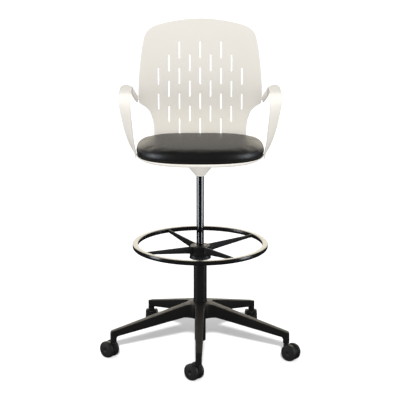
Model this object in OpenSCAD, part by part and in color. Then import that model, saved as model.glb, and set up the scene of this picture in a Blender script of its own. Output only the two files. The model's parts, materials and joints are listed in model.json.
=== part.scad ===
// Drafting chair: a cushioned seat in a slotted one-piece back and arm loops, on a
// gas lift with a sliding foot ring and a five-leg base on twin-wheel casters.
// The origin is on the floor under the column, +Z is up and the seat faces -Y.
// The seat and the foot ring are drawn at their highest settings.

/* [Lift column] */
// Outside diameter of the column
column_d = 50; // [48:1:52]
// Outside diameter of the lift tube
lift_d = 28; // [27:1:30]
// Height of the column's top edge
column_top = 405; // [400:1:408]
// Height of the funnel's lower edge at the highest setting
funnel_z = 680; // [674:1:684]
// Height of the lift tube's lower end at the highest setting
lift_low = 310; // [305:1:318]
// Diameter of the piston rod
rod_d = 10; // [8:1:11]

/* [Base] */
// Radius of the circle of caster stems
stem_circle_r = 340; // [320:0.5:360]
// Turn of the base about the column, in degrees
base_turn = -0.95; // [-5:0.05:5]
// Height of the hub's top
hub_top = 192; // [188:1:200]
// Height of the hub's underside
hub_low = 133; // [128:1:138]
// Radius of the hub
hub_r = 35; // [33:0.5:40]
// Height of the leg's top edge over the caster
tip_top = 106; // [102:1:112]
// Height of the leg's lower end, over the caster
tip_low = 61; // [60.5:0.5:64]

/* [Casters] */
// Diameter of a caster wheel
wheel_d = 62; // [58:1:62]
// Width of the pair of wheels
caster_w = 49; // [44:1:50]
// Distance from the stem to the axle
trail = 22; // [20:1:28]
// Trailing directions of the casters: front, front right, rear right, rear left, front left
caster_turns = [138, -38, 92, 88, 138]; // [-180:1:180]

/* [Foot ring] */
// Outside diameter of the ring
ring_d = 508; // [480:1:530]
// Height of the ring's top at its highest setting
ring_top = 421; // [418:1:424]
// Radial width of the ring's bar
ring_bar_w = 20.6; // [18:0.2:24]
// Height of the ring's bar
ring_bar_h = 17.2; // [14:0.2:20]
// Direction of the first spoke, in degrees
spoke_turn = 32; // [0:1:89]
// Thickness of a spoke
spoke_w = 11; // [8:1:16]

/* [Seat] */
// Half of the cushion's width
seat_half_w = 236; // [225:1:237]
// Distance from the column to the cushion's front edge
seat_front = 228; // [215:1:240]
// Distance from the column to the cushion's rear edge
seat_rear = 214; // [205:1:214]
// Height of the pan's underside over the column
pan_z = 749.3; // [746:0.1:752]
// Height of the cushion over the pan
cushion_h = 51; // [40:1:56]
// Rearward slope of the seat, in degrees
seat_tilt = 2; // [0:0.5:3]

/* [Back] */
// Height of the back's top edge
back_top = 1233; // [1180:1:1260]
// Thickness of the back's wall
back_t = 5; // [4:0.5:6]
// Radius that the back wraps forward on
back_wrap_r = 700; // [600:10:900]
// Width of a slot
slot_w = 6; // [5:0.5:9]
// Length of a slot
slot_len = 63; // [50:1:70]
// Distance between the columns of slots
slot_step_x = 39.6; // [36:0.1:42]
// Distance between the rows of slots
slot_step_z = 98; // [90:1:104]

/* [Arms] */
// Width of the arm's top pad
arm_w = 42; // [36:1:46]
// Thickness of the arm's top pad
arm_t = 11; // [8:1:13]

/* [Hidden] */
CASTERS = ["front", "front_right", "rear_right", "rear_left", "front_left"];

// Small sizes shared by several pieces
fine = 96;
plain = 48;
run_gap = 0.05;
free_gap = 0.3;
leg_count = 5;

// Lift column
column_r = column_d / 2;
taper_low_r = column_r - 1.2;
plug_r = 21;
plug_bore_r = 18.5;
column_bore_r = 22;
column_low = 36;
floor_t = 3;
lift_r = lift_d / 2;
lift_bore_r = lift_r - 2;
lift_high = 708;
rod_r = rod_d / 2;
rod_high = 345;
rod_low = 31;
clip_t = 2.5;
washer_t = 2;
bearing_t = 4.7;
bumper_t = 10;
bearing_r = 16;
seal_t = 12;
piston_t = 10;
valve_r = 3;
valve_low = 690;
valve_high = 714.4;
bushing_low = 325;
cap_r = 26.5;
cap_high = 412;

// Base
stem_r = 5.5;
socket_r = 8.5;
tip_r = 12;
spigot_r = 4;
spigot_low = 34;
housing_top = 58;
leg_wall = 4;
leg_roof = 6;
hub_leg_half_w = 24;
hub_ring_t = 3;
leg_rib_t = 3;
root_half_w = 17.5;
tip_half_w = 11;
stem_high = 98;

// Casters
wheel_r = wheel_d / 2;
axle_r = 4;
web_half_w = 6;
wheel_gap = 2;
wheel_t = caster_w / 2 - web_half_w - wheel_gap;
axle_half = caster_w / 2 - 2.5;
web_r = wheel_r - 4;

// Foot ring
ring_hub_r = 39;
ring_hub_low = 376;
ring_hub_high = 411;
ring_seat_z = 400;
nut_low = 362;
nut_r = 40.8;
collet_r = 29;
spoke_root_h = 29;
spoke_tip_h = 10;

// Seat and mechanism
rim_h = 13.5;
pan_t = 4;
rim_t = 5;
board_z = 4.8;
board_top = 14;
front_power = 2.5;
rear_power = 3.2;
outline_points = 72;
plate_z = 734;
plate_t = 4;
plate_x = 95;
plate_y = 78;
plate_screws = [[65, -55], [-65, -55], [65, 55], [-65, 55]];
board_screws = [[120, -110], [-120, -110], [120, 110], [-120, 110]];
tail_screws = [[48, 112], [-48, 112], [48, 152], [-48, 152]];
screw_r = 3;
head_r = 6;
head_t = 3;
boss_r = 10;
socket_tube_r = 18;
socket_tube_low = 688;
lever_x = 32;
lever_z = 718;
lever_half_w = 6;
lever_pin_r = 3;

// Back
tail_z = 727;
tail_bend_r = 40;
tail_front = 95;
neck_y = 222;
neck_split_z = 768;
// Centre line of the back from the side, above the bend: [distance behind the column, height]
back_line = [
    [neck_y, tail_z + tail_bend_r], [226, 800], [229, 838], [227, 880], [220, 925], [215, 970],
    [216, 1015], [221, 1065], [229, 1120], [239, 1175], [250, 1215], [256, back_top + 6]
];
// Half of the back's outline from the front: [half width, height]
back_edge = [
    [176, neck_split_z - 1], [176.5, 805], [179, 838], [185, 862], [194.5, 885], [209, 902], [222, 911],
    [231, 918], [232.5, 926], [234, 950], [233.5, 985], [231.5, 1020], [228, 1060], [224, 1095],
    [219, 1132], [212.5, 1163], [204, 1184], [190, 1198], [168, 1208.5], [134, 1217.5], [90, 1225.5],
    [45, 1230.5], [0, back_top]
];

// Arm loop on the right: [centre, width direction, width, thickness], from the back's ear
// over the pad and down the front strut to the seat pan
arm_line = [
    [[237.6, 189, 932.5], [-0.03, 0.15, 0.98], 25, 5.5],
    [[243, 161, 946], [0.02, 0.25, 0.95], 29, 6.5],
    [[252, 133, 967], [0.14, 0.27, 0.94], 34, 8],
    [[262.5, 107, 986.5], [0.6, 0.2, 0.75], arm_w - 2, arm_t - 1],
    [[271, 78, 998.5], [1, 0, 0.12], arm_w, arm_t],
    [[273, 32, 1001], [1, 0, 0], arm_w + 1, arm_t],
    [[273, -60, 1001], [1, 0, 0], arm_w + 1, arm_t],
    [[273, -95, 994.5], [1, 0, 0], arm_w + 1, arm_t],
    [[273, -109, 974], [1, 0.05, 0], arm_w, arm_t],
    [[270.5, -106, 945], [1, 0.15, 0], arm_w - 2, arm_t - 1],
    [[266, -90, 905], [1, 0.3, 0], arm_w - 5, arm_t - 2],
    [[261, -68, 862], [1, 0.6, 0.1], arm_w - 6, arm_t - 3],
    [[255, -42, 820], [0.8, 1, 0.2], arm_w - 5, arm_t - 4],
    [[247.5, -16, 784], [0.46, 1, 0.25], arm_w, arm_t - 5],
    [[241, -3, 765], [0.16, 1, 0.1], arm_w + 8, arm_t - 5],
    [[238, 0, 750], [0, 1, 0], arm_w + 12, arm_t - 5.5]
];
arm_steps = 3;
arm_sides = 12;
ear_z = 933;
ear_y = 189.5;

// A point of a closed outline that is rounder in front than behind, at angle a
function signed_power(v, p) = (v < 0 ? -1 : 1) * pow(abs(v), p);
function seat_point(a, inset) =
    let (p = 2 / (sin(a) < 0 ? front_power : rear_power), reach = sin(a) < 0 ? seat_front : seat_rear)
    [(seat_half_w - inset) * signed_power(cos(a), p), (reach - inset) * signed_power(sin(a), p)];
function seat_outline(inset) =
    [for (i = [0 : outline_points - 1]) seat_point(i * 360 / outline_points, inset)];

// Smooth line through points: value at fraction f between the second and third of four
function spline(a, b, c, d, f) =
    0.5 * (2 * b + (c - a) * f + (2 * a - 5 * b + 4 * c - d) * f * f + (3 * b - a - 3 * c + d) * f * f * f);
function unit(v) = v / norm(v);
function clamp(i, n) = max(0, min(n - 1, i));
// The column of values k along the arm's line, at position s
function arm_at(s, k) =
    let (n = len(arm_line), i = min(floor(s), n - 2), f = s - i)
    spline(arm_line[clamp(i - 1, n)][k], arm_line[i][k], arm_line[i + 1][k], arm_line[clamp(i + 2, n)][k], f);
// Cross-section of the arm at position s, a flat rounded bar
function arm_ring(s) =
    let (
        ahead = arm_at(min(s + 0.05, len(arm_line) - 1), 0) - arm_at(max(s - 0.05, 0), 0),
        across = unit(arm_at(s, 1) - unit(ahead) * (arm_at(s, 1) * unit(ahead))),
        up = cross(across, unit(ahead)),
        half_w = arm_at(s, 2) / 2,
        half_t = arm_at(s, 3) / 2
    )
    [for (i = [0 : arm_sides - 1])
        let (a = (i + 0.5) * 360 / arm_sides)
        arm_at(s, 0) + across * half_w * signed_power(cos(a), 0.5) + up * half_t * signed_power(sin(a), 0.7)];

// Solid through a stack of closed rings that all have the same number of points
module loft(rings) {
    sides = len(rings[0]);
    last = len(rings) - 1;
    points = [for (r = rings, p = r) p];
    walls = [for (j = [0 : last - 1], i = [0 : sides - 1])
        let (k = (i + 1) % sides)
        each [
            [j * sides + i, (j + 1) * sides + i, j * sides + k],
            [j * sides + k, (j + 1) * sides + i, (j + 1) * sides + k]
        ]];
    first_cap = [for (i = [0 : sides - 1]) i];
    last_cap = [for (i = [sides - 1 : -1 : 0]) last * sides + i];
    polyhedron(points, concat(walls, [first_cap, last_cap]), convexity = 6);
}

module tube(low, high, outer_r, inner_r) {
    rotate_extrude($fn = fine)
        translate([inner_r, low])
            square([outer_r - inner_r, high - low]);
}

module at_each(places, z) {
    for (p = places)
        translate([p[0], p[1], z])
            children();
}

module screw(shank_len) {
    translate([0, 0, -head_t])
        cylinder(h = head_t, r = head_r, $fn = plain);
    cylinder(h = shank_len, r = screw_r, $fn = plain);
}

// The seat's own plane: its origin is the pan's underside over the column
module on_seat() {
    translate([0, 0, pan_z])
        rotate([-seat_tilt, 0, 0])
            children();
}

// ---- Base and column ----

function leg_angle(i) = -90 + base_turn + i * 360 / leg_count;

module at_legs() {
    for (i = [0 : leg_count - 1])
        rotate(leg_angle(i))
            children();
}

// Outline of a leg from the side: [distance from the column, height]
module leg_side() {
    corner_r = 11;
    tip_out = stem_circle_r + tip_r;
    tip_in = stem_circle_r - tip_r;
    polygon(concat(
        [[taper_low_r, hub_top], [60, hub_top - 7]],
        [for (a = [75 : -15 : 0])
            [tip_out - corner_r * (1 - cos(a)), tip_top + 1 - corner_r * (1 - sin(a))]],
        [[tip_out, tip_low], [tip_in, tip_low], [tip_in, 76], [tip_in - 3, 83], [tip_in - 11, 86.5]],
        [[70, hub_low + 3], [45, hub_low + 0.5], [taper_low_r, hub_low]]
    ));
}

// Outline of a leg from above
module leg_plan(inset) {
    polygon([
        [taper_low_r, -hub_leg_half_w + inset], [52, -root_half_w - 1.5 + inset],
        [80, -root_half_w + inset], [stem_circle_r, -tip_half_w + inset],
        [stem_circle_r, tip_half_w - inset], [80, root_half_w - inset],
        [52, root_half_w + 1.5 - inset], [taper_low_r, hub_leg_half_w - inset]
    ]);
}

module leg() {
    intersection() {
        rotate([90, 0, 0])
            linear_extrude(2 * hub_leg_half_w, center = true)
                leg_side();
        union() {
            linear_extrude(hub_top)
                leg_plan(0);
            translate([stem_circle_r, 0, 0])
                cylinder(h = hub_top, r = tip_r, $fn = plain);
        }
    }
}

// The two hollows under a leg, beside its rib, stopped short of the hub and of the stem
module leg_hollow() {
    hollow_from = hub_r + 12;
    hollow_to = stem_circle_r - tip_r - 6;
    intersection() {
        rotate([90, 0, 0])
            linear_extrude(2 * hub_leg_half_w, center = true)
                polygon([
                    [hollow_from, hub_low - 10], [hollow_from, hub_top - 10 - leg_roof],
                    [hollow_to, tip_top + 2 - leg_roof], [hollow_to, tip_low]
                ]);
        linear_extrude(hub_top)
            difference() {
                leg_plan(leg_wall);
                square([2 * stem_circle_r, leg_rib_t], center = true);
            }
    }
}

module star_base() {
    color([0.09, 0.09, 0.09])
        difference() {
            union() {
                translate([0, 0, hub_low])
                    cylinder(h = hub_top - hub_low, r = hub_r, $fn = fine);
                at_legs()
                    leg();
            }
            translate([0, 0, hub_low])
                cylinder(h = hub_top - hub_low, r1 = taper_low_r, r2 = column_r, $fn = fine);
            at_legs()
                leg_hollow();
            at_legs()
                translate([stem_circle_r, 0, tip_low])
                    cylinder(h = stem_high + 2 - tip_low, r = socket_r, $fn = plain);
        }
}

module hub_ring() {
    color("silver")
        tube(hub_low - hub_ring_t, hub_low, hub_r - 2, taper_low_r + free_gap);
}

module stem_sockets() {
    color("gray")
        at_legs()
            translate([stem_circle_r, 0, 0])
                tube(tip_low, stem_high + 2, socket_r, stem_r);
}

module caster_stems() {
    color("silver")
        at_legs()
            translate([stem_circle_r, 0, 0])
                rotate_extrude($fn = plain)
                    polygon([
                        [0, spigot_low], [spigot_r, spigot_low], [spigot_r, housing_top + free_gap],
                        [socket_r - 1, housing_top + free_gap], [socket_r - 1, tip_low],
                        [stem_r, tip_low], [stem_r, stem_high - 2], [stem_r - 2, stem_high], [0, stem_high]
                    ]);
}

module column_tube() {
    color([0.1, 0.1, 0.1])
        rotate_extrude($fn = fine)
            polygon([
                [rod_r + run_gap, column_low], [plug_r - 1, column_low], [plug_r, column_low + 1],
                [plug_r, hub_low - 4], [taper_low_r, hub_low], [column_r, hub_top],
                [column_r, column_top], [column_bore_r, column_top], [column_bore_r, hub_low + 8],
                [plug_bore_r, hub_low], [plug_bore_r, column_low + floor_t],
                [rod_r + run_gap, column_low + floor_t]
            ]);
}

module column_bushing() {
    color("ivory")
        tube(bushing_low, column_top, column_bore_r, lift_r + run_gap);
}

module column_cap() {
    color([0.07, 0.07, 0.07])
        rotate_extrude($fn = fine)
            polygon([
                [lift_r + free_gap, column_top], [cap_r, column_top], [cap_r, cap_high - 2],
                [cap_r - 2, cap_high], [lift_r + free_gap, cap_high]
            ]);
}

module thrust_washer() {
    color("silver")
        tube(column_low + floor_t, column_low + floor_t + washer_t, bearing_r, rod_r + run_gap);
}

// ---- Rod: turns in the column, does not rise ----

bearing_low = column_low + floor_t + washer_t + free_gap / 3;
bumper_low = bearing_low + bearing_t;

module piston_rod() {
    color("silver")
        translate([0, 0, rod_low])
            cylinder(h = rod_high - rod_low, r = rod_r, $fn = plain);
}

module rod_clip() {
    color("dimgray")
        tube(column_low - free_gap / 3 - clip_t, column_low - free_gap / 3, rod_r + 4, rod_r);
}

module thrust_bearing() {
    color("silver")
        tube(bearing_low, bumper_low, bearing_r, rod_r);
}

module rod_bumper() {
    color([0.05, 0.05, 0.05])
        rotate_extrude($fn = plain)
            polygon([
                [rod_r, bumper_low], [bearing_r - 3, bumper_low], [bearing_r - 5, bumper_low + bumper_t / 2],
                [bearing_r - 3, bumper_low + bumper_t - 1], [rod_r, bumper_low + bumper_t]
            ]);
}

module piston() {
    color("goldenrod")
        tube(rod_high - piston_t - 5, rod_high - 5, lift_bore_r - run_gap, rod_r);
}

// ---- Lift tube: rises and turns with the seat ----

module lift_tube() {
    roof = 8;
    color([0.04, 0.04, 0.05])
        rotate_extrude($fn = fine)
            polygon([
                [lift_bore_r, lift_low], [lift_r - 1, lift_low], [lift_r, lift_low + 1],
                [lift_r, lift_high - 1], [lift_r - 1, lift_high], [valve_r + run_gap, lift_high],
                [valve_r + run_gap, lift_high - roof], [lift_bore_r, lift_high - roof]
            ]);
}

module rod_seal() {
    color([0.1, 0.1, 0.1])
        tube(lift_low, lift_low + seal_t, lift_bore_r, rod_r + run_gap);
}

module valve_button() {
    color("silver")
        rotate_extrude($fn = plain)
            polygon([
                [0, valve_low], [valve_r, valve_low], [valve_r, valve_high - 1.2],
                [valve_r - 1.2, valve_high], [0, valve_high]
            ]);
}

// ---- Foot ring ----

module ring_section() {
    edge = 3;
    half_w = ring_bar_w / 2;
    polygon([
        [-half_w + edge, -ring_bar_h], [half_w - edge, -ring_bar_h], [half_w - 0.8, edge - ring_bar_h],
        [half_w, -ring_bar_h / 2], [half_w, -1.5], [half_w - 1.5, 0], [-half_w + 1.5, 0],
        [-half_w, -1.5], [-half_w, -ring_bar_h / 2], [-half_w + 0.8, edge - ring_bar_h]
    ]);
}

module foot_ring() {
    rim_in = ring_d / 2 - ring_bar_w + 4;
    color([0.05, 0.05, 0.05]) {
        rotate_extrude($fn = 144)
            translate([ring_d / 2 - ring_bar_w / 2, ring_top])
                ring_section();
        difference() {
            union() {
                translate([0, 0, ring_hub_low])
                    cylinder(h = ring_hub_high - ring_hub_low, r = ring_hub_r, $fn = fine);
                for (i = [0 : 3])
                    rotate(spoke_turn + 90 * i)
                        rotate([90, 0, 0])
                            linear_extrude(spoke_w, center = true)
                                polygon([
                                    [collet_r + 2, ring_hub_high - spoke_root_h], [collet_r + 2, ring_hub_high],
                                    [rim_in, ring_top - 2], [rim_in, ring_top - 2 - spoke_tip_h]
                                ]);
            }
            translate([0, 0, ring_hub_low - 1])
                cylinder(h = ring_seat_z - ring_hub_low + 1, r = collet_r, $fn = fine);
            cylinder(h = ring_top, r = cap_r + free_gap, $fn = fine);
        }
    }
}

module ring_collet() {
    color([0.15, 0.15, 0.15])
        difference() {
            tube(ring_hub_low, ring_seat_z, collet_r, column_r + run_gap);
            for (i = [0 : 3])
                rotate(spoke_turn + 45 + 90 * i)
                    translate([column_r, 0, ring_hub_low - 1])
                        translate([0, -1, 0])
                            cube([collet_r, 2, ring_seat_z - ring_hub_low - 6]);
        }
}

module ring_nut() {
    grips = 20;
    color([0.08, 0.08, 0.08])
        difference() {
            rotate_extrude($fn = fine)
                polygon([
                    [column_r + 1, nut_low], [nut_r - 1, nut_low], [nut_r, nut_low + 1],
                    [nut_r - 1, nut_low + 6], [ring_hub_r, ring_hub_low - free_gap],
                    [column_r + 1, ring_hub_low - free_gap]
                ]);
            for (i = [0 : grips - 1])
                rotate(i * 360 / grips)
                    translate([nut_r + 1.2, 0, nut_low - 1])
                        cylinder(h = 8, r = 2, $fn = 24);
        }
}

// ---- Seat mechanism ----

module funnel() {
    wall = 2.5;
    top_r = 62;
    window_h = 16;
    color([0.93, 0.92, 0.88])
        difference() {
            rotate_extrude($fn = fine)
                polygon([
                    [lift_r + free_gap, funnel_z], [19.5, funnel_z], [20.3, funnel_z + 3],
                    [47, funnel_z + 35], [top_r, plate_z - free_gap], [top_r - wall, plate_z - free_gap],
                    [46 - wall, funnel_z + 37], [20.3 - wall, funnel_z + 6], [lift_r + free_gap, funnel_z + 6]
                ]);
            translate([lever_x, -lever_half_w - 3, lever_z - window_h / 2])
                cube([top_r, 2 * lever_half_w + 6, window_h + 2]);
        }
}

module mechanism() {
    ear_t = 3;
    ear_low = lever_z - 7;
    color("dimgray")
        difference() {
            union() {
                translate([-plate_x, -plate_y, plate_z])
                    cube([2 * plate_x, 2 * plate_y, plate_t]);
                translate([0, 0, socket_tube_low])
                    cylinder(h = plate_z - socket_tube_low, r = socket_tube_r, $fn = fine);
                for (side = [-1, 1])
                    translate([lever_x - 6, side * (lever_half_w + 1 + ear_t / 2) - ear_t / 2, ear_low])
                        cube([10.5, ear_t, plate_z - ear_low]);
            }
            translate([0, 0, socket_tube_low - 1])
                cylinder(h = lift_high - socket_tube_low + 1, r = lift_r, $fn = fine);
            translate([0, 0, lift_high - 1])
                cylinder(h = plate_z - lift_high - 1, r = lift_r - 2, $fn = fine);
            translate([0, -lever_half_w - 1, lift_high + 1])
                cube([socket_tube_r + 3, 2 * lever_half_w + 2, plate_z - lift_high - 3]);
            translate([lever_x, 0, lever_z])
                rotate([90, 0, 0])
                    cylinder(h = 40, r = lever_pin_r, center = true, $fn = plain);
            at_each(plate_screws, plate_z - 1)
                cylinder(h = plate_t + 2, r = screw_r, $fn = plain);
        }
}

module mechanism_screws() {
    color("silver")
        at_each(plate_screws, plate_z)
            screw(14);
}

module lift_lever() {
    arm_end = 96;
    paddle_from = 116;
    paddle_to = 168;
    paddle_half_w = 20;
    arm_half_h = 3;
    lift = 7.5;
    corner = 8;
    paddle_h = 5;
    color([0.1, 0.1, 0.1])
        difference() {
            union() {
                translate([0, 0, lever_z])
                    rotate([90, 0, 0])
                        linear_extrude(2 * lever_half_w - 2, center = true)
                            polygon([
                                [-4, -arm_half_h], [arm_end, -arm_half_h], [paddle_from + 2, lift - arm_half_h],
                                [paddle_from + corner, lift - arm_half_h],
                                [paddle_from + corner, lift - arm_half_h + paddle_h],
                                [paddle_from, lift - arm_half_h + paddle_h], [arm_end - 2, arm_half_h], [-4, arm_half_h]
                            ]);
                translate([lever_x, 0, lever_z])
                    rotate([90, 0, 0])
                        cylinder(h = 2 * lever_half_w, r = 5.5, center = true, $fn = plain);
                translate([0, 0, lever_z + lift - arm_half_h]) {
                    translate([paddle_from, corner - paddle_half_w, 0])
                        cube([paddle_to - paddle_from, 2 * (paddle_half_w - corner), paddle_h]);
                    translate([paddle_from + corner, -paddle_half_w, 0])
                        cube([paddle_to - paddle_from - 2 * corner, 2 * paddle_half_w, paddle_h]);
                    for (x = [paddle_from + corner, paddle_to - corner], side = [-1, 1])
                        translate([x, side * (paddle_half_w - corner), 0])
                            cylinder(h = paddle_h, r = corner, $fn = plain);
                }
            }
            translate([lever_x, 0, lever_z])
                rotate([90, 0, 0])
                    cylinder(h = 40, r = lever_pin_r + run_gap, center = true, $fn = plain);
        }
}

module lever_pin() {
    color("silver")
        translate([lever_x, 0, lever_z])
            rotate([90, 0, 0])
                cylinder(h = 2 * lever_half_w + 8, r = lever_pin_r, center = true, $fn = plain);
}

// ---- Seat ----

// Layers of the pan: [height over its underside, inset of the outline]
pan_steps = [[0, 11], [2.5, 6.5], [5, 3.5], [7.5, 2]];

module seat_pan() {
    color([0.93, 0.92, 0.88])
        difference() {
            union() {
                on_seat()
                    for (s = pan_steps)
                        translate([0, 0, s[0]])
                            linear_extrude(rim_h - s[0])
                                polygon(seat_outline(s[1]));
                at_each(plate_screws, plate_z + plate_t)
                    cylinder(h = 16, r = boss_r, $fn = plain);
                at_each(tail_screws, tail_z + back_t / 2)
                    cylinder(h = 17, r = boss_r, $fn = plain);
            }
            on_seat()
                for (s = pan_steps)
                    translate([0, 0, s[0] + pan_t])
                        linear_extrude(rim_h)
                            polygon(seat_outline(s[1] + rim_t));
            at_each(plate_screws, plate_z)
                cylinder(h = 14, r = screw_r, $fn = plain);
            at_each(tail_screws, tail_z)
                cylinder(h = 13, r = screw_r, $fn = plain);
            on_seat()
                at_each(board_screws, -1)
                    cylinder(h = 10, r = screw_r, $fn = plain);
            arm_screw_places(0);
        }
}

module cushion_board() {
    color("burlywood")
        on_seat()
            difference() {
                translate([0, 0, board_z])
                    linear_extrude(board_top - board_z)
                        polygon(seat_outline(16));
                at_each(board_screws, -1)
                    cylinder(h = board_top - 1, r = screw_r, $fn = plain);
            }
}

module cushion_screws() {
    color("silver")
        on_seat()
            at_each(board_screws, 0)
                screw(board_top - 2);
}

// [height over the board as a part of cushion_h, inset of the outline] up the cushion's side
cushion_steps = [
    [0, 10], [0.11, 3], [0.3, 0], [0.54, 1.5], [0.72, 8], [0.84, 20], [0.91, 42], [0.96, 90], [0.99, 150], [1, 205]
];

module seat_cushion() {
    color([0.09, 0.09, 0.09])
        on_seat()
            loft([for (s = cushion_steps)
                [for (p = seat_outline(s[1])) [p[0], p[1], board_top + s[0] * cushion_h]]]);
}

// ---- Back ----

// Closed outline of the back's wall from the side, at distance shift from its centre line
function bend(r) =
    [for (a = [-90 : 15 : 0]) [neck_y - tail_bend_r + r * cos(a), tail_z + tail_bend_r + r * sin(a)]];
function back_side(shift) = concat(
    [[tail_front, tail_z - shift]],
    bend(tail_bend_r + shift),
    [for (i = [1 : len(back_line) - 1]) back_line[i] + [shift, 0]]
);
function reversed(list) = [for (i = [len(list) - 1 : -1 : 0]) list[i]];

module back_wall() {
    half_turn = 22;
    translate([0, -back_wrap_r, 0])
        rotate(90 - half_turn)
            rotate_extrude(angle = 2 * half_turn, $fn = 360)
                translate([back_wrap_r, 0])
                    polygon(concat(back_side(back_t / 2), reversed(back_side(-back_t / 2))));
}

module back_outline() {
    rotate([90, 0, 0])
        translate([0, 0, -400])
            linear_extrude(500)
                polygon(concat(back_edge, [for (p = reversed(back_edge)) [-p[0], p[1]]]));
}

// Outline of the tail from above, where the back runs under the seat pan
module tail_outline() {
    translate([0, 0, tail_z - 20])
        linear_extrude(neck_split_z - tail_z + 20)
            polygon([
                [62, tail_front - 20], [72, tail_front + 5], [84, 125], [118, 160], [160, 180], [176, 198],
                [176, 300], [-176, 300], [-176, 198], [-160, 180], [-118, 160], [-84, 125],
                [-72, tail_front + 5], [-62, tail_front - 20]
            ]);
}

// The slots: staggered columns, three or four deep, with two in each outer column
module slots() {
    first_z = 822.5;
    for (i = [-4 : 4])
        for (row = [0 : 3])
            if (abs(i) < 4 ? (i % 2 == 0 || row < 3) : (row == 1 || row == 2))
                translate([i * slot_step_x, 0, first_z + (row + (i % 2 == 0 ? 0 : 0.5)) * slot_step_z])
                    slot();
}

module slot() {
    straight = slot_len - slot_w;
    reach = 300;
    translate([-slot_w / 2, 0, -straight / 2])
        cube([slot_w, reach, straight]);
    for (end = [-1, 1])
        translate([0, 0, end * straight / 2])
            rotate([-90, 0, 0])
                cylinder(h = reach, r = slot_w / 2, $fn = 24);
}

module back_shell() {
    color([0.93, 0.92, 0.88])
        difference() {
            intersection() {
                back_wall();
                union() {
                    back_outline();
                    tail_outline();
                }
            }
            slots();
            at_each(tail_screws, tail_z - back_t)
                cylinder(h = 2 * back_t, r = screw_r, $fn = plain);
        }
}

module back_screws() {
    color("silver")
        at_each(tail_screws, tail_z - back_t / 2)
            screw(15);
}

// ---- Arms ----

module arm() {
    stations = [for (i = [0 : (len(arm_line) - 1) * arm_steps]) arm_ring(i / arm_steps)];
    loft(stations);
}

module right_arm() {
    color([0.95, 0.95, 0.93])
        arm();
}

module left_arm() {
    color([0.95, 0.95, 0.93])
        mirror([1, 0, 0])
            arm();
}

module arm_screw_places(extra) {
    for (side = [0, 1], y = [-14, 14])
        mirror([side, 0, 0])
            translate([seat_half_w - 12, y, pan_z + rim_h / 2 + 1])
                rotate([0, 90, 0])
                    cylinder(h = 14 + extra, r = 2, $fn = 24);
}

module arm_screws() {
    color("silver")
        arm_screw_places(0);
}

module ear_pins() {
    color("silver")
        for (side = [0, 1])
            mirror([side, 0, 0])
                translate([226, ear_y, ear_z])
                    rotate([0, 90, 0])
                        cylinder(h = 14, r = 1.5, $fn = 24);
}

// ---- Casters: drawn with the stem on the Z axis, trailing along +X ----

module at_caster(i) {
    rotate(leg_angle(i))
        translate([stem_circle_r, 0, 0])
            rotate(caster_turns[i] - leg_angle(i))
                children();
}

module caster_housing(i) {
    boss_low = 34;
    stem_boss_r = web_half_w + 1.4;
    color([0.09, 0.09, 0.09])
        at_caster(i)
            difference() {
                union() {
                    translate([trail, 0, wheel_r])
                        rotate([90, 0, 0])
                            cylinder(h = 2 * web_half_w, r = web_r, center = true, $fn = plain);
                    translate([-8, -web_half_w, wheel_r - 2])
                        cube([trail, 2 * web_half_w, housing_top - wheel_r + 2]);
                    translate([0, 0, boss_low])
                        cylinder(h = housing_top - boss_low, r = stem_boss_r, $fn = plain);
                }
                translate([0, 0, spigot_low - 1])
                    cylinder(h = housing_top, r = spigot_r + run_gap, $fn = plain);
                translate([trail, 0, wheel_r])
                    rotate([90, 0, 0])
                        cylinder(h = caster_w, r = axle_r, center = true, $fn = plain);
            }
}

module caster_axle(i) {
    color("silver")
        at_caster(i)
            translate([trail, 0, wheel_r])
                rotate([90, 0, 0])
                    cylinder(h = 2 * axle_half, r = axle_r, center = true, $fn = plain);
}

// side is 1 for the wheel on the left of the trailing direction and -1 for the other
module caster_wheel(i, side) {
    inner = web_half_w + wheel_gap;
    outer = inner + wheel_t;
    bore_r = axle_r + run_gap;
    bore_end = axle_half + free_gap;
    color([0.12, 0.12, 0.12])
        at_caster(i)
            translate([trail, 0, wheel_r])
                rotate([-90 * side, 0, 0])
                    rotate_extrude($fn = fine)
                        polygon([
                            [bore_r, inner - 1.5], [9, inner - 1.5], [10, inner + 2], [wheel_r - 5, inner + 2],
                            [wheel_r - 4.5, inner], [wheel_r - 1.5, inner], [wheel_r, inner + 2],
                            [wheel_r, outer - 5], [wheel_r - 1, outer - 2.5], [wheel_r - 4, outer - 1],
                            [wheel_r - 6, outer - 1], [wheel_r - 7, outer - 2], [10, outer - 1],
                            [0, outer], [0, bore_end], [bore_r, bore_end]
                        ]);
}

star_base();
hub_ring();
stem_sockets();
caster_stems();
column_tube();
column_bushing();
column_cap();
thrust_washer();
piston_rod();
rod_clip();
thrust_bearing();
rod_bumper();
piston();
lift_tube();
rod_seal();
valve_button();
foot_ring();
ring_collet();
ring_nut();
funnel();
mechanism();
mechanism_screws();
lift_lever();
lever_pin();
seat_pan();
cushion_board();
cushion_screws();
seat_cushion();
back_shell();
back_screws();
left_arm();
right_arm();
arm_screws();
ear_pins();
for (i = [0 : len(CASTERS) - 1]) {
    caster_housing(i);
    caster_axle(i);
    caster_wheel(i, 1);
    caster_wheel(i, -1);
}
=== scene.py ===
import json
import math

import bmesh
import bpy
import numpy as np
from mathutils import Matrix, Vector, geometry


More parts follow.
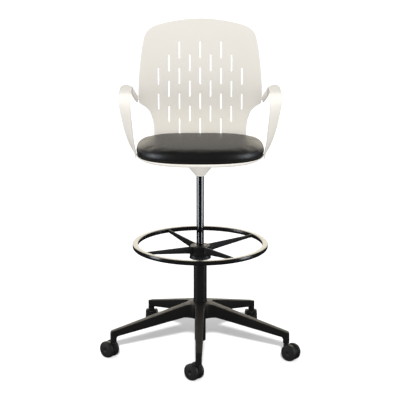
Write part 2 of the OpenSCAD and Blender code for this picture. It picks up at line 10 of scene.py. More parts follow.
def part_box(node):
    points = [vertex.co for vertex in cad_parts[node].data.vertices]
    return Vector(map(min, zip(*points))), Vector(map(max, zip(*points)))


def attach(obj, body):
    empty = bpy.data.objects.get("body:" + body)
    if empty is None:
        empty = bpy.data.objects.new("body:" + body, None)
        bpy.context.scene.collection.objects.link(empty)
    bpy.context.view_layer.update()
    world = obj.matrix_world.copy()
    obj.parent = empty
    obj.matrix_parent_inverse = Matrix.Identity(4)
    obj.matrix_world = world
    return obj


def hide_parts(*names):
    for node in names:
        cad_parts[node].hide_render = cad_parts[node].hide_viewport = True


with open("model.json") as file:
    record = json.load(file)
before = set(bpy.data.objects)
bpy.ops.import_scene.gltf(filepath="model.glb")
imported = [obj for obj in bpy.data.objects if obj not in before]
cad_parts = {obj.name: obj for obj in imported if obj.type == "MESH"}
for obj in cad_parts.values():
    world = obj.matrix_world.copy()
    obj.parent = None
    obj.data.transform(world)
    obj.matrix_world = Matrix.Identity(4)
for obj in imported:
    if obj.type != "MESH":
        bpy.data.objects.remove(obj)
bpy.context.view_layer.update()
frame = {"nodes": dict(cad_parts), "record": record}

# Looks of the drafting chair. Metres, +Z up, the seat faces -Y, the origin is on the floor under the column.

nodes = frame["nodes"]
CASTERS = ("front", "front_right", "rear_right", "rear_left", "front_left")


# ---- Materials ----

class Shader:
    """A principled material and short calls that add procedural detail to it."""

    def __init__(self, name, color, roughness, specular=0.5, metallic=0.0, coat=0.0, coat_roughness=0.1):
        self.name = name
        self.material = bpy.data.materials.new(name)
        self.material.use_nodes = True
        self.tree = self.material.node_tree
        self.bsdf = self.tree.nodes["Principled BSDF"]
        self.color = color
        self.roughness = roughness
        self.bsdf.inputs["Base Color"].default_value = (*color, 1)
        self.bsdf.inputs["Roughness"].default_value = roughness
        self.bsdf.inputs["Specular IOR Level"].default_value = specular
        self.bsdf.inputs["Metallic"].default_value = metallic
        self.bsdf.inputs["Coat Weight"].default_value = coat
        self.bsdf.inputs["Coat Roughness"].default_value = coat_roughness
        self.place = self.tree.nodes.new("ShaderNodeTexCoord")
        self.normal = None

    def node(self, kind, **inputs):
        made = self.tree.nodes.new(kind)
        for key, value in inputs.items():
            made.inputs[key.replace("_", " ")].default_value = value
        return made

    def link(self, source, target):
        self.tree.links.new(source, target)

    def stretched(self, scale):
        """Object coordinates times scale, axis by axis."""
        mapping = self.node("ShaderNodeMapping")
        mapping.inputs["Scale"].default_value = scale
        self.link(self.place.outputs["Object"], mapping.inputs["Vector"])
        return mapping.outputs["Vector"]

    def noise(self, scale, detail=4.0, stretch=None):
        made = self.node("ShaderNodeTexNoise", Scale=scale, Detail=detail, Roughness=0.55)
        source = self.place.outputs["Object"] if stretch is None else self.stretched(stretch)
        self.link(source, made.inputs["Vector"])
        return made.outputs["Fac"]

    def cells(self, scale):
        """Soft round cells, like the grain of embossed vinyl."""
        made = self.node("ShaderNodeTexVoronoi", Scale=scale)
        made.feature = "SMOOTH_F1"
        self.link(self.place.outputs["Object"], made.inputs["Vector"])
        return made.outputs["Distance"]

    def ranged(self, value, low, high, from_low=0.3, from_high=0.7):
        """Value's span from_low to from_high, mapped to low to high."""
        made = self.tree.nodes.new("ShaderNodeMapRange")
        made.inputs["From Min"].default_value = from_low
        made.inputs["From Max"].default_value = from_high
        made.inputs["To Min"].default_value = low
        made.inputs["To Max"].default_value = high
        self.link(value, made.inputs["Value"])
        return made.outputs["Result"]

    def blend(self, factor, other_color):
        """Mixes other_color into the base colour by factor, over what is mixed in already."""
        mix = self.tree.nodes.new("ShaderNodeMix")
        mix.data_type = "RGBA"
        self.link(factor, mix.inputs["Factor"])
        own, other = [socket for socket in mix.inputs if socket.type == "RGBA"]
        other.default_value = (*other_color, 1)
        before = self.bsdf.inputs["Base Color"].links
        if before:
            self.link(before[0].from_socket, own)
        else:
            own.default_value = (*self.color, 1)
        result = next(socket for socket in mix.outputs if socket.type == "RGBA")
        self.link(result, self.bsdf.inputs["Base Color"])

    def mottle(self, value, other_color, amount):
        """Base colour drifts towards other_color as value rises."""
        self.blend(self.ranged(value, 0, amount), other_color)

    def worn(self, color, amount):
        """Sharp edges are rubbed towards color."""
        edge_low, edge_high = 0.52, 0.6
        shape = self.tree.nodes.new("ShaderNodeNewGeometry")
        self.blend(self.ranged(shape.outputs["Pointiness"], 0, amount, edge_low, edge_high), color)

    def gloss(self, value, spread):
        """Roughness wanders by spread either way."""
        wandering = self.ranged(value, self.roughness - spread, self.roughness + spread)
        self.link(wandering, self.bsdf.inputs["Roughness"])

    def bump(self, value, depth, strength=1.0):
        """Relief of the given depth, over the reliefs added before."""
        made = self.node("ShaderNodeBump", Strength=strength, Distance=depth)
        self.link(value, made.inputs["Height"])
        if self.normal is not None:
            self.link(self.normal, made.inputs["Normal"])
        self.normal = made.outputs["Normal"]
        self.link(self.normal, self.bsdf.inputs["Normal"])


def moulded(name, color, other, roughness, specular, grain):
    """Injection-moulded plastic with a fine spark-eroded surface."""
    s = Shader(name, color, roughness, specular, coat_roughness=0.12)
    s.mottle(s.noise(9, 3), other, 0.6)
    s.gloss(s.noise(60, 4), roughness * 0.12)
    s.bump(s.noise(1400, 3), grain)
    s.bump(s.noise(28, 2), 0.00025, 0.25)
    return s


# Name, colour, second colour, roughness, specular, depth of the grain
PLASTICS = [
    ("shell_white", (0.865, 0.83, 0.762), (0.885, 0.855, 0.795), 0.45, 0.4, 0.00005),
    ("base_nylon", (0.0075, 0.007, 0.0065), (0.0105, 0.0098, 0.0092), 0.5, 0.2, 0.00009),
    ("caster_nylon", (0.009, 0.0088, 0.0086), (0.013, 0.0128, 0.0125), 0.46, 0.25, 0.00006),
    ("wheel_nylon", (0.0115, 0.0112, 0.011), (0.016, 0.0156, 0.0152), 0.5, 0.25, 0.00006),
    ("black_plastic", (0.008, 0.008, 0.008), (0.012, 0.012, 0.012), 0.45, 0.3, 0.00006),
    ("white_acetal", (0.8, 0.78, 0.72), (0.84, 0.83, 0.79), 0.4, 0.5, 0.00006),
]


def ring_material():
    """Glossy on the rim, which shoes polish, and dull on the spokes and the hub."""
    s = moulded("ring_gloss", (0.006, 0.006, 0.0058), (0.009, 0.0088, 0.0085), 0.22, 0.6, 0.00003)
    spokes_end, rim_start = 0.222, 0.236
    from_column = s.tree.nodes.new("ShaderNodeVectorMath")
    from_column.operation = "LENGTH"
    s.link(s.stretched((1, 1, 0)), from_column.inputs[0])
    for channel, on_spokes, on_rim in (("Roughness", 0.5, 0.2), ("Specular IOR Level", 0.2, 0.6)):
        value = s.ranged(from_column.outputs["Value"], on_spokes, on_rim, spokes_end, rim_start)
        s.link(value, s.bsdf.inputs[channel])
    return s


def make_materials():
    """Every material of the chair by its slot's name."""
    made = [moulded(*row) for row in PLASTICS]
    made.append(ring_material())

    paint = Shader("column_paint", (0.0075, 0.0072, 0.0068), 0.36, 0.3)
    paint.mottle(paint.noise(22, 4), (0.012, 0.0115, 0.0108), 0.5)
    paint.gloss(paint.noise(70, 5), 0.05)
    paint.bump(paint.noise(420, 4), 0.00008)
    made.append(paint)

    gloss = Shader("lift_gloss", (0.0025, 0.0025, 0.003), 0.13, 0.6, coat=1.0, coat_roughness=0.06)
    gloss.mottle(gloss.noise(30, 3), (0.004, 0.004, 0.005), 0.5)
    gloss.gloss(gloss.noise(40, 5, (1, 1, 0.15)), 0.03)
    gloss.bump(gloss.noise(300, 2, (1, 1, 0.1)), 0.000002)
    made.append(gloss)

    dark = Shader("mechanism_paint", (0.015, 0.015, 0.015), 0.55, 0.4)
    dark.mottle(dark.noise(35, 4), (0.03, 0.028, 0.026), 0.6)
    dark.gloss(dark.noise(80, 4), 0.08)
    dark.bump(dark.noise(500, 4), 0.00012)
    dark.worn((0.12, 0.12, 0.12), 0.5)
    made.append(dark)

    steel = Shader("bright_steel", (0.56, 0.56, 0.55), 0.3, metallic=1.0)
    steel.mottle(steel.noise(60, 4), (0.4, 0.395, 0.385), 0.6)
    steel.gloss(steel.noise(300, 4, (1, 1, 0.05)), 0.08)
    steel.bump(steel.noise(900, 3, (1, 1, 0.04)), 0.00003)
    made.append(steel)

    chrome = Shader("polished_rod", (0.7, 0.7, 0.72), 0.08, metallic=1.0)
    chrome.mottle(chrome.noise(40, 3), (0.62, 0.62, 0.64), 0.5)
    chrome.gloss(chrome.noise(200, 4, (1, 1, 0.05)), 0.03)
    made.append(chrome)

    brass = Shader("piston_brass", (0.68, 0.48, 0.2), 0.3, metallic=1.0)
    brass.mottle(brass.noise(70, 4), (0.5, 0.33, 0.14), 0.6)
    brass.gloss(brass.noise(120, 4), 0.06)
    made.append(brass)

    rubber = Shader("black_rubber", (0.012, 0.012, 0.012), 0.75, 0.3)
    rubber.mottle(rubber.noise(80, 4), (0.03, 0.029, 0.028), 0.6)
    rubber.bump(rubber.noise(700, 4), 0.00015)
    made.append(rubber)

    wood = Shader("plywood", (0.5, 0.34, 0.19), 0.7, 0.3)
    wood.mottle(wood.noise(14, 6, (1, 9, 1)), (0.34, 0.21, 0.11), 0.8)
    wood.mottle(wood.noise(3, 3), (0.58, 0.42, 0.26), 0.5)
    wood.bump(wood.noise(90, 5, (1, 12, 1)), 0.0003)
    made.append(wood)

    vinyl = Shader("black_vinyl", (0.0065, 0.0063, 0.006), 0.44, 0.5)
    vinyl.mottle(vinyl.noise(7, 4), (0.0095, 0.009, 0.0083), 0.7)
    vinyl.gloss(vinyl.noise(160, 4), 0.06)
    vinyl.bump(vinyl.cells(620), 0.00022, 0.7)
    vinyl.bump(vinyl.noise(1500, 2), 0.00006, 0.6)
    made.append(vinyl)
    return {shader.name: shader.material for shader in made}


MATERIALS = make_materials()
SLOT_OF = {row["node"]: row["material_slot"] for row in frame["record"]["subparts"]}


def paint(obj, slot_name):
    obj.data.materials.clear()
    obj.data.materials.append(MATERIALS[slot_name])


# ---- Mesh helpers ----

def smooth(obj):
    for face in obj.data.polygons:
        face.use_smooth = True


def mesh_object(name, points, faces):
    mesh = bpy.data.meshes.new(name)
    mesh.from_pydata([tuple(p) for p in points], [], faces)
    mesh.validate()
    obj = bpy.data.objects.new(name, mesh)
    bpy.context.scene.collection.objects.link(obj)
    bm = bmesh.new()
    bm.from_mesh(mesh)
    bmesh.ops.recalc_face_normals(bm, faces=bm.faces)
    bm.to_mesh(mesh)
    bm.free()
    smooth(obj)
    return obj


def stand_in(obj, body, slot_name, *replaced):
    """A finished piece that stands for CAD nodes, rides on their body and takes a slot's material."""
    paint(obj, slot_name)
    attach(obj, body)
    if replaced:
        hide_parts(*replaced)
    return obj


def soften(obj, width):
    """Rounded edges on a CAD node, with the flat faces kept flat in shading."""
    smooth(obj)
    weld = obj.modifiers.new("weld", "WELD")
    weld.merge_threshold = 0.00002
    bevel = obj.modifiers.new("rounded_edges", "BEVEL")
    bevel.width = width
    bevel.segments = 2
    bevel.limit_method = "ANGLE"
    bevel.angle_limit = math.radians(35)
    bevel.use_clamp_overlap = True
    bevel.miter_outer = "MITER_ARC"
    weighted = obj.modifiers.new("flat_faces", "WEIGHTED_NORMAL")
    weighted.keep_sharp = False
    weighted.weight = 100


def ring_mesh(rings, closed=False):
    """Points and faces through rings of equal length; closed joins the last ring to the first."""
    count = len(rings[0])
    points = [p for ring in rings for p in ring]
    faces = []
    last = len(rings) if closed else len(rings) - 1
    for j in range(last):
        a, b = j * count, ((j + 1) % len(rings)) * count
        for i in range(count):
            k = (i + 1) % count
            faces.append((a + i, a + k, b + k, b + i))
    return points, faces


def capped(name, rings):
    """A solid through rings of equal length, with a flat face on both ends."""
    count = len(rings[0])
    points, faces = ring_mesh(rings)
    faces.append(tuple(reversed(range(count))))
    faces.append(tuple(range(len(points) - count, len(points))))
    return mesh_object(name, points, faces)


def revolve(name, profile, steps):
    """Solid of revolution about Z: profile is [(radius, height)], closed back to its first point."""
    turns = [2 * math.pi * i / steps for i in range(steps)]
    rings = [[(radius * math.cos(a), radius * math.sin(a), height) for a in turns]
             for radius, height in profile]
    points, faces = ring_mesh(rings, closed=True)
    return mesh_object(name, points, faces)


def rounded_profile(corners, segments=4):
    """Closed outline with each corner (x, y, radius) rounded off."""
    out = []
    count = len(corners)
    for i, (x, y, radius) in enumerate(corners):
        here = Vector((x, y))
        back = Vector(corners[i - 1][:2]) - here
        ahead = Vector(corners[(i + 1) % count][:2]) - here
        if radius <= 0 or back.length < 1e-9 or ahead.length < 1e-9:
            out.append((x, y))
            continue
        u, v = back.normalized(), ahead.normalized()
        half = u.angle(v) / 2
        reach = min(radius / max(math.tan(half), 1e-6), 0.49 * back.length, 0.49 * ahead.length)
        r = reach * math.tan(half)
        middle = here + (u + v).normalized() * (r / max(math.sin(half), 1e-6))
        start, end = here + u * reach - middle, here + v * reach - middle
        turn = math.atan2(start.x * end.y - start.y * end.x, start.dot(end))
        for k in range(segments + 1):
            a = turn * k / segments
            out.append((
                middle.x + start.x * math.cos(a) - start.y * math.sin(a),
                middle.y + start.x * math.sin(a) + start.y * math.cos(a),
            ))
    return out


def signed_power(v, p):
    """v raised to p, with its sign kept: the coordinates of rounded squares and superellipses."""
    return math.copysign(abs(v) ** p, v)


def spline(values, at):
    """Catmull-Rom through values (tuples) at position at, counted in values."""
    n = len(values)
    i = min(max(int(math.floor(at)), 0), n - 2)
    f = at - i
    a, b, c, d = [np.array(values[min(max(i + k, 0), n - 1)], float) for k in (-1, 0, 1, 2)]
    square = 2 * a - 5 * b + 4 * c - d
    cube = 3 * b - a - 3 * c + d
    return 0.5 * (2 * b + (c - a) * f + square * f * f + cube * f ** 3)


def spline_points(values, steps):
    """The spline through values, with steps points from each value to the next."""
    return [spline(values, j / steps) for j in range((len(values) - 1) * steps + 1)]


def resampled(points, spacing):
    """The same closed loop with points about spacing apart."""
    pts = [np.array(p, float) for p in points]
    pts.append(pts[0])
    lengths = [np.linalg.norm(b - a) for a, b in zip(pts, pts[1:])]
    total = sum(lengths)
    count = max(8, int(round(total / spacing)))
    out, k, walked = [], 0, 0.0
    for j in range(count):
        target = total * j / count
        while walked + lengths[k] < target:
            walked += lengths[k]
            k += 1
        f = (target - walked) / max(lengths[k], 1e-12)
        out.append(pts[k] + (pts[k + 1] - pts[k]) * f)
    return out


def shrunk(loop, distance):
    """A closed loop moved to its left by distance."""
    out = []
    for i, p in enumerate(loop):
        along = loop[(i + 1) % len(loop)] - loop[i - 1]
        along = along / max(np.linalg.norm(along), 1e-12)
        out.append(p + distance * np.array([-along[1], along[0]]))
    return out


def moulding(name, loops, spacing, round_r, top, bottom, place, edge_steps):
    """A moulded wall: loops (the outline anticlockwise, holes clockwise) filled with a fine mesh, its edges
    rounded by round_r. top and bottom give the two faces' heights at (x, y), and place(x, y, h) the point."""
    depths = [round_r * (1 - math.cos(math.pi / 2 * k / edge_steps)) for k in range(edge_steps + 1)]
    points, edges, depth_of, rims = [], [], [], []
    for loop in loops:
        for level, depth in enumerate(depths):
            start = len(points)
            moved = shrunk(loop, depth) if depth else loop
            points += moved
            depth_of += [depth] * len(moved)
            if level == 0:
                rims.append(range(start, start + len(moved)))
            edges += [(start + i, start + (i + 1) % len(moved)) for i in range(len(moved))]
    rim_count = len(points)
    everything = np.array(points)
    low, high = everything.min(0), everything.max(0)
    step_y = spacing * math.sqrt(3) / 2
    rows = int((high[1] - low[1]) / step_y) + 1
    columns = int((high[0] - low[0]) / spacing) + 2
    grid = np.array([
        (low[0] + (i + 0.5 * (j % 2)) * spacing, low[1] + j * step_y)
        for j in range(rows) for i in range(columns)
    ])
    grid = grid[inside(loops, grid)]
    # Grid points too close to the edge's own points are left out, in blocks that spare memory
    near = np.full(len(grid), 1e9)
    block_size = 256
    for start in range(0, rim_count, block_size):
        block = everything[start:start + block_size]
        d = np.sqrt(((grid[:, None, :] - block[None, :, :]) ** 2).sum(2)).min(1)
        near = np.minimum(near, d)
    grid = grid[near > 0.6 * spacing]
    points += list(grid)
    depth_of += [round_r] * len(grid)
    flat, _, faces, origin, _, _ = geometry.delaunay_2d_cdt(
        [Vector((float(p[0]), float(p[1]))) for p in points], edges, [], 0, 1e-9
    )
    first = {}
    for new, sources in enumerate(origin):
        for source in sources:
            first.setdefault(source, new)
    depth_new = [round_r] * len(flat)
    for new, sources in enumerate(origin):
        if sources:
            depth_new[new] = min(depth_of[s] for s in sources)
    centres = np.array([np.mean([flat[v] for v in face], axis=0) for face in faces])
    keep = [face for face, solid in zip(faces, inside(loops, centres)) if solid]
    used = sorted({v for face in keep for v in face})
    index = {v: i for i, v in enumerate(used)}
    total = len(used)
    out = []
    for height_of, sign in ((top, -1), (bottom, 1)):
        for v in used:
            x, y, d = flat[v].x, flat[v].y, depth_new[v]
            drop = round_r - math.sqrt(max(0.0, round_r ** 2 - (round_r - d) ** 2))
            out.append(place(x, y, height_of(x, y) + sign * drop))
    solid = [tuple(index[v] for v in face) for face in keep]
    solid += [tuple(total + index[v] for v in reversed(face)) for face in keep]
    for rim in rims:
        ids = [first[i] for i in rim]
        for a, b in zip(ids, ids[1:] + ids[:1]):
            if a in index and b in index and a != b:
                solid.append((index[a], index[b], total + index[b], total + index[a]))
    return mesh_object(name, out, solid)


def inside(loops, grid):
    """Which of the grid's points lie in the material: inside an odd number of loops."""
    odd = np.zeros(len(grid), bool)
    for loop in loops:
        ends = np.array(loop)
        for (x0, y0), (x1, y1) in zip(ends, np.roll(ends, -1, axis=0)):
            if y0 != y1:
                rows = (grid[:, 1] > min(y0, y1)) & (grid[:, 1] <= max(y0, y1))
                odd ^= rows & (x0 + (grid[:, 1] - y0) * (x1 - x0) / (y1 - y0) > grid[:, 0])
    return odd


# ---- CAD nodes that stay showing: rounded edges and materials ----

SMALL_EDGE = 0.0004
EDGES = {
    "column_tube": 0.0006, "column_cap": 0.0006, "ring_nut": 0.0005, "mechanism": 0.0006,
    "lift_lever": 0.0012, "funnel": 0.0007, "valve_button": 0.0003, "lift_tube": 0.0003,
    "cushion_board": 0.0008,
}
for node_name, obj in nodes.items():
    paint(obj, SLOT_OF[node_name])
    soften(obj, EDGES.get(node_name, SMALL_EDGE))


# ---- Back shell ----

BACK_T = 0.005
WRAP_R = 0.7
TAIL_FRONT = 0.095
BEND_R = 0.04
NECK_Y = 0.222
TAIL_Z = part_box("back_shell")[0].z + BACK_T / 2
BACK_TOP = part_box("back_shell")[1].z - 0.0004
# The back's centre line from the side, above the bend: (distance behind the column, height)
BACK_LINE = [
    (NECK_Y, TAIL_Z + BEND_R), (0.226, 0.800), (0.229, 0.838), (0.227, 0.880), (0.220, 0.925), (0.215, 0.970),
    (0.216, 1.015), (0.221, 1.065), (0.229, 1.120), (0.239, 1.175), (0.250, 1.215), (0.256, 1.239),
]
# Half of the back's outline from the front: (half width, height)
BACK_EDGE = [
    (0.176, 0.768), (0.1765, 0.805), (0.179, 0.838), (0.185, 0.862), (0.1945, 0.885), (0.209, 0.902),
    (0.222, 0.911), (0.231, 0.918), (0.2325, 0.926), (0.234, 0.950), (0.2335, 0.985), (0.2315, 1.020),
    (0.228, 1.060), (0.224, 1.095), (0.219, 1.132), (0.2125, 1.163), (0.204, 1.184), (0.190, 1.198),
    (0.168, 1.2085), (0.134, 1.2175), (0.090, 1.2255), (0.045, 1.2305), (0.0, BACK_TOP),
]
# Half of the tail's outline from above: (half width, distance behind the column)
TAIL_EDGE = [
    (0.070, TAIL_FRONT), (0.074, 0.105), (0.084, 0.125), (0.118, 0.160), (0.160, 0.180), (0.175, 0.198),
]
TAIL_STEPS = 15
BEND_STEPS = 12
SLOT_W = 0.0054
SLOT_LEN = 0.063
SLOT_STEP_X = 0.0396
SLOT_STEP_Z = 0.098
SLOT_FIRST_Z = 0.8225
SLOT_ROWS = 4
SLOT_COLUMNS_EACH_SIDE = 4


class BackSurface:
    """The back's middle surface: a point is (x, s), and s runs along its centre line from the tail."""

    def __init__(self):
        flat_end = NECK_Y - BEND_R
        line = [np.array((TAIL_FRONT + (flat_end - TAIL_FRONT) * k / TAIL_STEPS, TAIL_Z))
                for k in range(TAIL_STEPS + 1)]
        for k in range(1, BEND_STEPS + 1):
            a = math.radians(-90 + 90 * k / BEND_STEPS)
            line.append(np.array((flat_end + BEND_R * math.cos(a), TAIL_Z + BEND_R + BEND_R * math.sin(a))))
        self.bend_end = len(line)
        line += spline_points(BACK_LINE, 8)[1:]
        self.line = np.array(line)
        steps = np.linalg.norm(np.diff(self.line, axis=0), axis=1)
        self.s = np.concatenate([[0], np.cumsum(steps)])
        along = np.gradient(self.line, self.s, axis=0)
        along /= np.linalg.norm(along, axis=1)[:, None]
        self.normal = np.stack([along[:, 1], -along[:, 0]], axis=1)

    def s_at_height(self, z):
        """Where the upright part reaches height z."""
        return float(np.interp(z, self.line[self.bend_end:, 1], self.s[self.bend_end:]))

    def s_at_depth(self, y):
        """Where the tail or the bend reaches y behind the column."""
        return float(np.interp(y, self.line[:self.bend_end, 0], self.s[:self.bend_end]))

    def place(self, x, s, h):
        """The point h out from (x, s), away from the sitter, on a back wrapped round the sitter."""
        rho = np.interp(s, self.s, self.line[:, 0])
        z = np.interp(s, self.s, self.line[:, 1])
        n_rho = np.interp(s, self.s, self.normal[:, 0])
        n_z = np.interp(s, self.s, self.normal[:, 1])
        turn = math.asin(x / (WRAP_R + rho))
        radius = WRAP_R + rho + h * n_rho
        return (radius * math.sin(turn), radius * math.cos(turn) - WRAP_R, z + h * n_z)


def slot_loop(x, low, high):
    """A slot's outline, clockwise, between low and high along the back."""
    half_w = SLOT_W / 2
    steps = 8
    loop = []
    for k in range(steps + 1):
        a = math.pi - math.pi * k / steps
        loop.append((x + half_w * math.cos(a), high - half_w + half_w * math.sin(a)))
    for k in range(steps + 1):
        a = -math.pi * k / steps
        loop.append((x + half_w * math.cos(a), low + half_w + half_w * math.sin(a)))
    return loop


def build_back():
    """The back and its tail as one slotted sheet of even thickness."""
    surface = BackSurface()
    right = [(w, surface.s_at_depth(y)) for w, y in TAIL_EDGE]
    right += [(w, surface.s_at_height(z)) for w, z in BACK_EDGE]
    right = [tuple(p) for p in spline_points(right, 5)]
    outline = right + [(-w, s) for w, s in reversed(right[:-1])]
    loops = [resampled(outline, 0.0035)]
    for i in range(-SLOT_COLUMNS_EACH_SIDE, SLOT_COLUMNS_EACH_SIDE + 1):
        # Every second column sits half a step higher and has one slot fewer; the outermost have two
        raised = i % 2
        rows = (1, 2) if abs(i) == SLOT_COLUMNS_EACH_SIDE else range(SLOT_ROWS - raised)
        for row in rows:
            z = SLOT_FIRST_Z + (row + 0.5 * raised) * SLOT_STEP_Z
            low = surface.s_at_height(z - SLOT_LEN / 2)
            high = surface.s_at_height(z + SLOT_LEN / 2)
            loops.append(resampled(slot_loop(i * SLOT_STEP_X, low, high), 0.0026))
    half = BACK_T / 2
    spacing = 0.0065
    edge_r = 0.0011
    back = moulding("slotted_back", loops, spacing, edge_r,
                    lambda x, s: half, lambda x, s: -half, surface.place, 3)
    stand_in(back, "seat", "shell_white", "back_shell")


# ---- Arms ----

# The right arm: (centre, width direction, width, thickness), from the back's ear over the pad to the pan
ARM_LINE = [
    ((0.2376, 0.189, 0.9325), (-0.03, 0.15, 0.98), 0.025, 0.0055),
    ((0.243, 0.161, 0.946), (0.02, 0.25, 0.95), 0.029, 0.0065),
    ((0.252, 0.133, 0.967), (0.14, 0.27, 0.94), 0.034, 0.008),
    ((0.2625, 0.107, 0.9865), (0.6, 0.2, 0.75), 0.040, 0.010),
    ((0.271, 0.078, 0.9985), (1, 0, 0.12), 0.042, 0.011),
    ((0.273, 0.032, 1.001), (1, 0, 0), 0.043, 0.011),
    ((0.273, -0.060, 1.001), (1, 0, 0), 0.043, 0.011),
    ((0.273, -0.095, 0.9945), (1, 0, 0), 0.043, 0.011),
    ((0.273, -0.109, 0.974), (1, 0.05, 0), 0.042, 0.011),
    ((0.2705, -0.106, 0.945), (1, 0.15, 0), 0.040, 0.010),
    ((0.266, -0.090, 0.905), (1, 0.3, 0), 0.037, 0.009),
    ((0.261, -0.068, 0.862), (1, 0.6, 0.1), 0.036, 0.008),
    ((0.255, -0.042, 0.820), (0.8, 1, 0.2), 0.037, 0.007),
    ((0.2475, -0.016, 0.784), (0.46, 1, 0.25), 0.042, 0.006),
    ((0.241, -0.003, 0.765), (0.16, 1, 0.1), 0.050, 0.006),
    ((0.238, 0.0, 0.750), (0, 1, 0), 0.054, 0.0055),
]
ARM_END_R = 0.012
# How far the section is drawn in at the very end, at the next ring, and from there on
ARM_END_SHRINK = (0.0016, 0.0005, 0.0)
# Roundness of the section: 1 would be an ellipse, 0 a rectangle
ARM_SIDE_POWER = 0.42
ARM_FACE_POWER = 0.62


def build_arms():
    """Each arm is a flat bar with rounded edges, swept along ARM_LINE; its ends are rounded over."""
    rows = [(*centre, *across, width, thickness) for centre, across, width, thickness in ARM_LINE]
    steps = 8
    count = 48
    path = [spline(rows, j / steps) for j in range((len(rows) - 1) * steps + 1)]
    for side, mirror in (("right", 1), ("left", -1)):
        rings = []
        for j, row in enumerate(path):
            ahead = Vector(path[min(j + 1, len(path) - 1)][:3]) - Vector(path[max(j - 1, 0)][:3])
            ahead.normalize()
            across = Vector(row[3:6])
            across = (across - ahead * across.dot(ahead)).normalized()
            up = across.cross(ahead)
            from_end = min(j, len(path) - 1 - j)
            shrink = ARM_END_SHRINK[min(from_end, 2)]
            half_w, half_t = row[6] / 2 - shrink, row[7] / 2 - shrink
            to_end = (Vector(row[:3]) - Vector(path[-1][:3])).length
            if to_end < ARM_END_R:
                half_w -= ARM_END_R - math.sqrt(ARM_END_R ** 2 - (ARM_END_R - to_end) ** 2)
            ring = []
            for i in range(count):
                a = 2 * math.pi * (i + 0.5) / count
                p = (Vector(row[:3]) + across * half_w * signed_power(math.cos(a), ARM_SIDE_POWER)
                     + up * half_t * signed_power(math.sin(a), ARM_FACE_POWER))
                ring.append((mirror * p.x, p.y, p.z))
            rings.append(ring)
        arm = capped(f"{side}_arm_loop", rings)
        stand_in(arm, "seat", "shell_white", f"{side}_arm")


# ---- Seat pan and cushion ----

SEAT_HALF_W = 0.236
SEAT_FRONT = 0.228
SEAT_REAR = 0.214
SEAT_TILT = math.radians(2)
PAN_Z = 0.7493
RIM_H = 0.0135
PAN_T = 0.004
PAN_WALL = 0.0035
PAN_UNDER = 0.012
PAN_INSET = 0.002
BOARD_TOP = 0.014
SKIRT = 0.005
SLACK = 0.0005
FRONT_POWER = 2.5
REAR_POWER = 3.2


def seat_point(a, inset):
    """A point of the seat's outline at angle a, moved in by inset."""
    front = math.sin(a) < 0
    p = 2 / (FRONT_POWER if front else REAR_POWER)
    reach = SEAT_FRONT if front else SEAT_REAR
    x = (SEAT_HALF_W - inset) * signed_power(math.cos(a), p)
    y = (reach - inset) * signed_power(math.sin(a), p)
    return x, y


def on_seat(x, y, z):
    """From the seat's own tilted plane to the row frame."""
    return Vector((x, y * math.cos(SEAT_TILT) + z * math.sin(SEAT_TILT),
                   PAN_Z - y * math.sin(SEAT_TILT) + z * math.cos(SEAT_TILT)))


def build_pan():
    """The moulded pan: a shallow bowl whose side turns under in a wide curve."""
    count = 160
    rings = []

    def ring(inset, z, lift):
        """One ring round the bowl; lift draws its left and right ends in and up."""
        out = []
        for i in range(count):
            a = 2 * math.pi * i / count
            side = abs(math.cos(a)) ** 3
            x, y = seat_point(a, inset + lift * side * 0.008)
            out.append(on_seat(x, y, z + lift * side * 0.0035))
        return out

    def flat_rings(z, fractions):
        """Level rings at height z, from the pan's middle at 0 towards its edge at 1."""
        for f in fractions:
            rings.append(ring(SEAT_HALF_W - (SEAT_HALF_W - 0.02) * f, z, 0))

    spread = (0.02, 0.2, 0.5, 0.8)
    rim_low = RIM_H - 0.003
    flat_rings(0, spread)
    for k in range(9):
        a = math.pi / 2 * k / 8
        inset = PAN_INSET + PAN_UNDER * (1 - math.sin(a))
        rings.append(ring(inset, rim_low * (1 - math.cos(a)), math.cos(a)))
    for k in range(1, 7):
        a = math.pi * k / 6
        inset = PAN_INSET + PAN_WALL / 2 * (1 - math.cos(a))
        rings.append(ring(inset, RIM_H - 0.002 + 0.0018 * math.sin(a), 0))
    for k in range(7):
        a = math.pi / 2 * k / 6
        inset = PAN_INSET + PAN_WALL + (PAN_UNDER - PAN_WALL) * (1 - math.cos(a))
        rings.append(ring(inset, PAN_T + (rim_low - PAN_T) * (1 - math.sin(a)), math.sin(a)))
    flat_rings(PAN_T, reversed(spread))
    stand_in(capped("seat_bowl", rings), "seat", "shell_white", "seat_pan")


PUFF_FRAMES = 20
PUFF_CAP = 0.002


def puff_up(cushion):
    """Blows the cover up by cloth simulation, held where it is stapled to the board."""
    scene = bpy.context.scene
    rest = [v.co.copy() for v in cushion.data.vertices]
    pins = cushion.vertex_groups.new(name="stapled")
    pins.add([i for i, p in enumerate(rest) if seat_height(p) < BOARD_TOP + 0.002], 1.0, "REPLACE")
    cloth = cushion.modifiers.new("cloth", "CLOTH")
    settings = cloth.settings
    settings.quality = 6
    settings.mass = 0.4
    settings.tension_stiffness = 25
    settings.compression_stiffness = 25
    settings.shear_stiffness = 12
    settings.bending_stiffness = 1.5
    settings.use_pressure = True
    settings.uniform_pressure_force = 4
    settings.effector_weights.gravity = 0
    settings.vertex_group_mass = "stapled"
    cloth.collision_settings.use_collision = False
    cloth.point_cache.frame_start = 1
    cloth.point_cache.frame_end = PUFF_FRAMES
    for number in range(1, PUFF_FRAMES + 1):
        scene.frame_set(number)
    apply_modifiers(cushion)
    scene.frame_set(1)
    for v, before in zip(cushion.data.vertices, rest):
        move = v.co - before
        if move.length > PUFF_CAP:
            v.co = before + move.normalized() * PUFF_CAP


